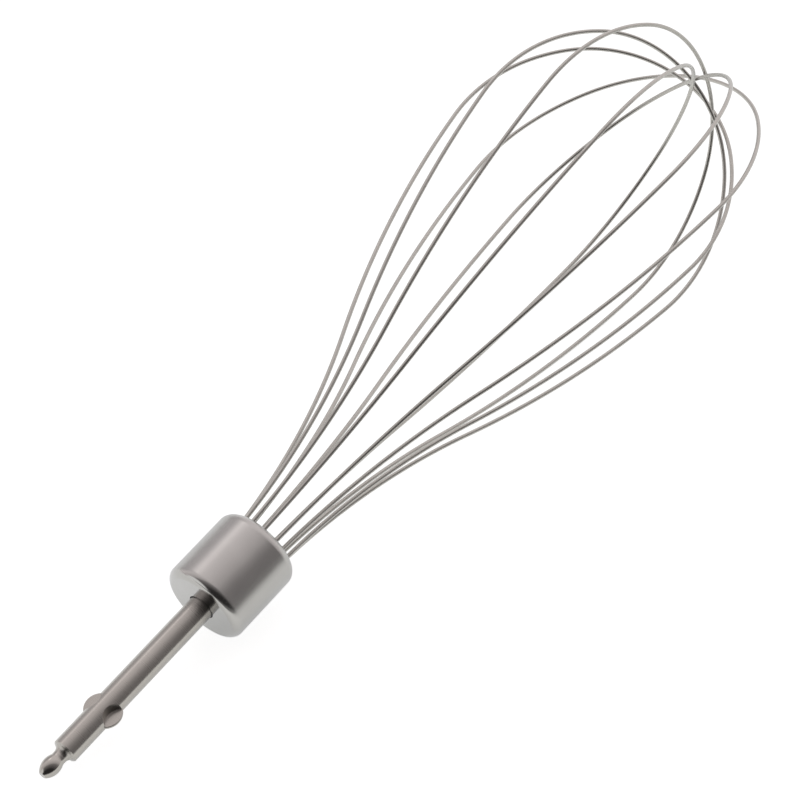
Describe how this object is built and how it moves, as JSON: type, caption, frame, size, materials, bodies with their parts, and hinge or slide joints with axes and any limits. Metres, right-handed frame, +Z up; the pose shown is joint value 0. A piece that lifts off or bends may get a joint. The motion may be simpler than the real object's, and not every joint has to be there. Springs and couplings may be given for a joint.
{
  "type": "whisk attachment",
  "caption": "Balloon whisk for a hand-held blender: bent steel wire loops held in a round steel ferrule, on a round drive shaft with coined drive wings and a bulb nose.",
  "frame": {"origin": "middle of the bounding box on the surface that the whisk lies on", "axes": "+X along the floor from the shaft's nose towards the crown of the wires, +Z up"},
  "size_m": [0.2496, 0.0726, 0.0681],
  "materials": {
    "shaft_steel": "drawn and lightly polished",
    "ferrule_steel": "polished, with fine brushing round the barrel",
    "holder_plastic": "fine moulded grain",
    "wire_steel": "drawn wire"
  },
  "bodies": {
    "root": {"drive_shaft": "shaft_steel", "ferrule": "ferrule_steel", "wire_holder": "holder_plastic", "wire_loop_1": "wire_steel", "wire_loop_2": "wire_steel", "wire_loop_3": "wire_steel", "wire_loop_4": "wire_steel", "wire_loop_5": "wire_steel", "wire_loop_6": "wire_steel"}
  },
  "joints": []
}
